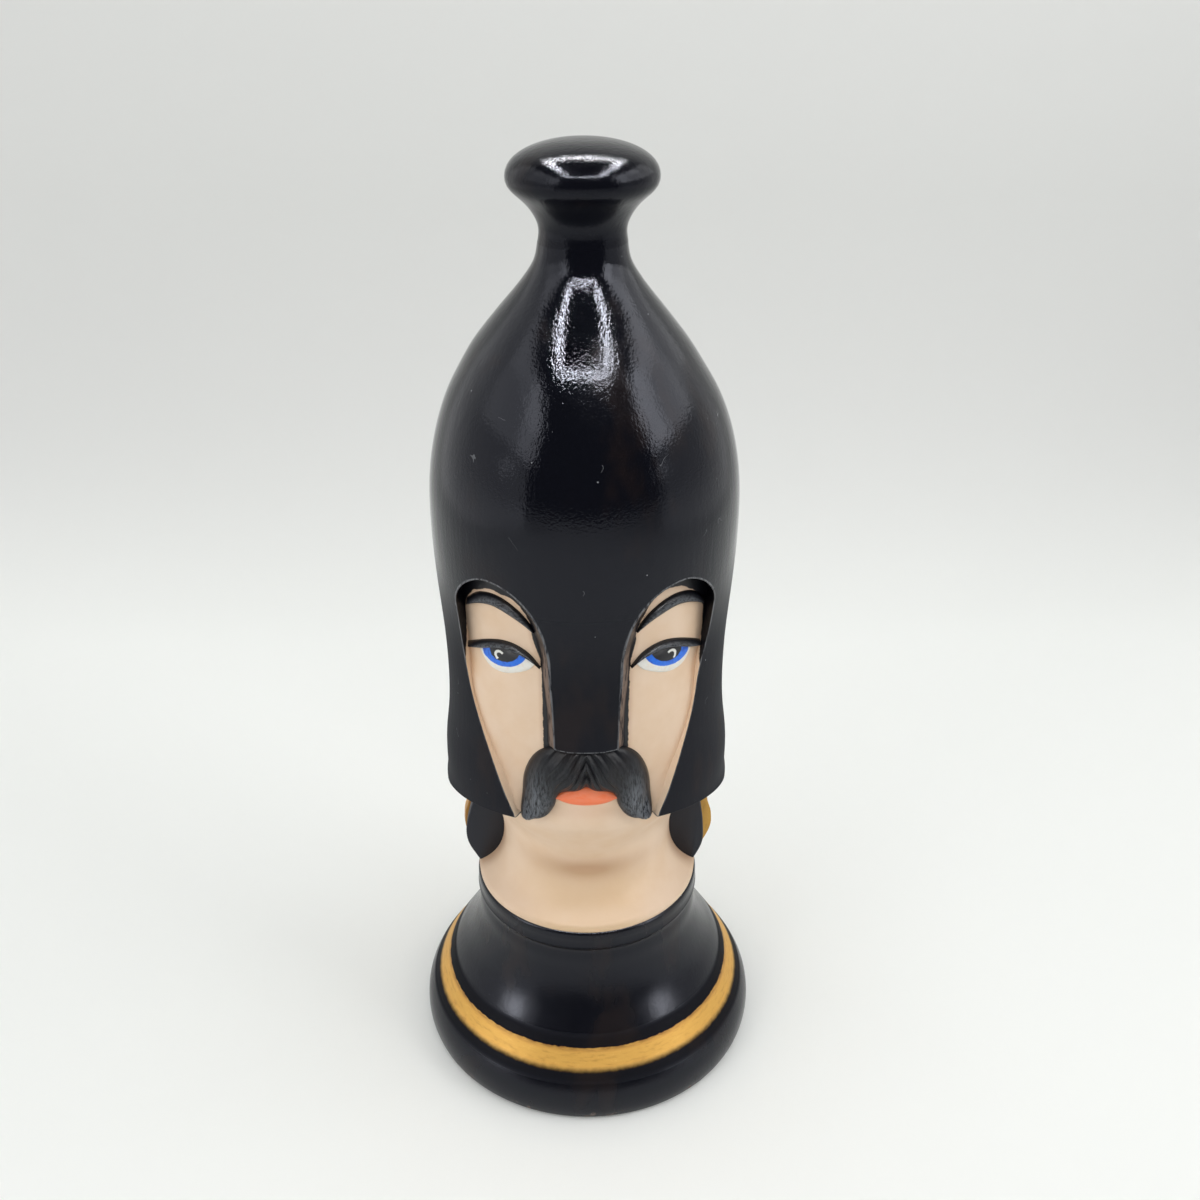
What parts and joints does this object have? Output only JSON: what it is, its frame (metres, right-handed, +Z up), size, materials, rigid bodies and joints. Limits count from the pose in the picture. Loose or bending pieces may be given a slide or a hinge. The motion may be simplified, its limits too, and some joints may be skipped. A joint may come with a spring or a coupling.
{
  "type": "figural chess pawn",
  "caption": "Chess pawn shaped as a moustached soldier's head in a tall knobbed helmet with nasal and cheek guards, on a bell base with a gilded band.",
  "frame": {"origin": "centre of the felt's underside, on the surface that the pawn stands on", "axes": "+Z up along the pawn's turned axis, -Y the way the face looks, +X towards the viewer's right when facing it"},
  "size_m": [0.0504, 0.0504, 0.13],
  "materials": {
    "black_gloss": "glossy black paint over ceramic",
    "black_glaze": "satin black paint over ceramic",
    "flesh_paint": "flesh coloured paint over ceramic",
    "gilding": "brushed gold paint over ceramic",
    "coral_paint": "coral paint over ceramic",
    "eye_white": "white paint with painted iris",
    "white_plaster": "cast plaster, unseen",
    "green_felt": "glued felt"
  },
  "bodies": {
    "root": {"felt_pad": "green_felt", "base_foot": "black_glaze", "ballast_weight": "white_plaster", "gold_band": "gilding", "head": "flesh_paint", "helmet": "black_gloss", "finial_knob": "black_gloss", "neck_curtain": "gilding", "side_flap_left": "black_glaze", "side_flap_right": "black_glaze", "moustache": "black_glaze", "lower_lip": "coral_paint", "brow_left": "black_glaze", "brow_right": "black_glaze", "upper_lid_left": "black_glaze", "upper_lid_right": "black_glaze", "eye_left": "eye_white", "eye_right": "eye_white"}
  },
  "joints": []
}
